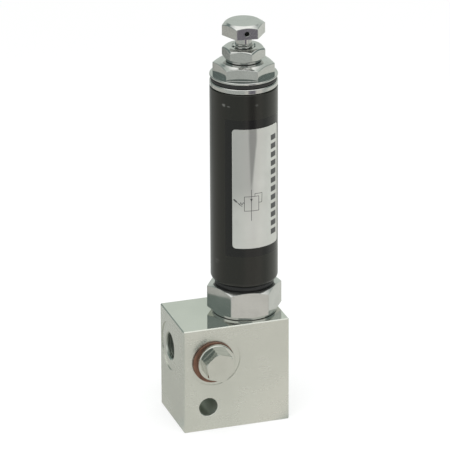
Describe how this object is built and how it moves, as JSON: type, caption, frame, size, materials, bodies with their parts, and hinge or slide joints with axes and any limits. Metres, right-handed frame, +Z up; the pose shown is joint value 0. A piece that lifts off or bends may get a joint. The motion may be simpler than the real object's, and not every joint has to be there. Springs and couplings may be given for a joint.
{
  "type": "pressure control valve",
  "caption": "Pressure control valve: a spring-loaded cartridge with an adjusting screw and lock nut, screwed into a ported steel block.",
  "frame": {"origin": "centre of the block's bottom face", "axes": "+Z up along the cartridge and its adjusting screw, -Y out of the front face with the plugged gauge port, +X to the right; the outlet port is on the left face (-X), the inlet port on the right face (+X)"},
  "size_m": [0.0655, 0.0563, 0.2392],
  "materials": {
    "plated_block": "satin zinc plating",
    "zinc_plated_steel": "bright zinc plating",
    "ground_steel": "ground",
    "spring_steel": "oiled black",
    "copper": "tarnished copper",
    "black_enamel": "semi-gloss black",
    "nitrile_rubber": "satin",
    "seal_plastic": "matte",
    "silver_film": "satin metallised film"
  },
  "bodies": {
    "root": {"valve_block": "plated_block", "cartridge_body": "zinc_plated_steel", "body_o_ring": "nitrile_rubber", "nose_o_ring": "nitrile_rubber", "nose_backup_ring": "seal_plastic", "seat_o_ring": "nitrile_rubber", "seat_ring": "ground_steel", "poppet_retainer": "ground_steel", "poppet_spring": "spring_steel", "neck_o_ring": "nitrile_rubber", "spring_housing": "black_enamel", "main_spring": "spring_steel", "clamp_ring": "zinc_plated_steel", "cap_o_ring": "nitrile_rubber", "top_cap": "zinc_plated_steel", "plug_washer": "copper", "port_plug": "zinc_plated_steel", "label": "silver_film"},
    "piston": {"sensing_piston": "ground_steel", "piston_o_ring": "nitrile_rubber", "piston_backup_ring": "seal_plastic", "lower_spring_seat": "ground_steel"},
    "poppet": {"valve_ball": "ground_steel", "ball_carrier": "ground_steel"},
    "spring_thrust": {"upper_spring_seat": "ground_steel", "thrust_ball": "ground_steel"},
    "adjuster": {"adjusting_screw": "zinc_plated_steel"},
    "nut": {"lock_nut": "zinc_plated_steel"}
  },
  "joints": [
    {"name": "screw_travel", "type": "slide", "parent": "root", "child": "spring_thrust", "axis": [0, 0, 1], "range_m": [-0.00612, 0.00699], "deforming": ["main_spring"]},
    {"name": "screw_turn", "type": "hinge", "parent": "spring_thrust", "child": "adjuster", "pos_m": [0.0121, 0, 0.2354], "axis": [0, 0, 1], "range_deg": [-1260, 1440]},
    {"name": "lock_nut_turn", "type": "hinge", "parent": "root", "child": "nut", "pos_m": [0.0121, 0, 0.2205], "axis": [0, 0, 1], "range_deg": [0, 90]},
    {"name": "piston_travel", "type": "slide", "parent": "root", "child": "piston", "axis": [0, 0, 1], "range_m": [0, 0.0012], "stiffness_N_per_m": 5000},
    {"name": "poppet_travel", "type": "slide", "parent": "root", "child": "poppet", "axis": [0, 0, 1], "range_m": [0, 0.0012], "deforming": ["poppet_spring"]}
  ],
  "couplings": [
    {"joint": "screw_turn", "follows": "screw_travel", "rad_per_m": 3590.4},
    {"joint": "poppet_travel", "follows": "piston_travel", "ratio": 1}
  ]
}
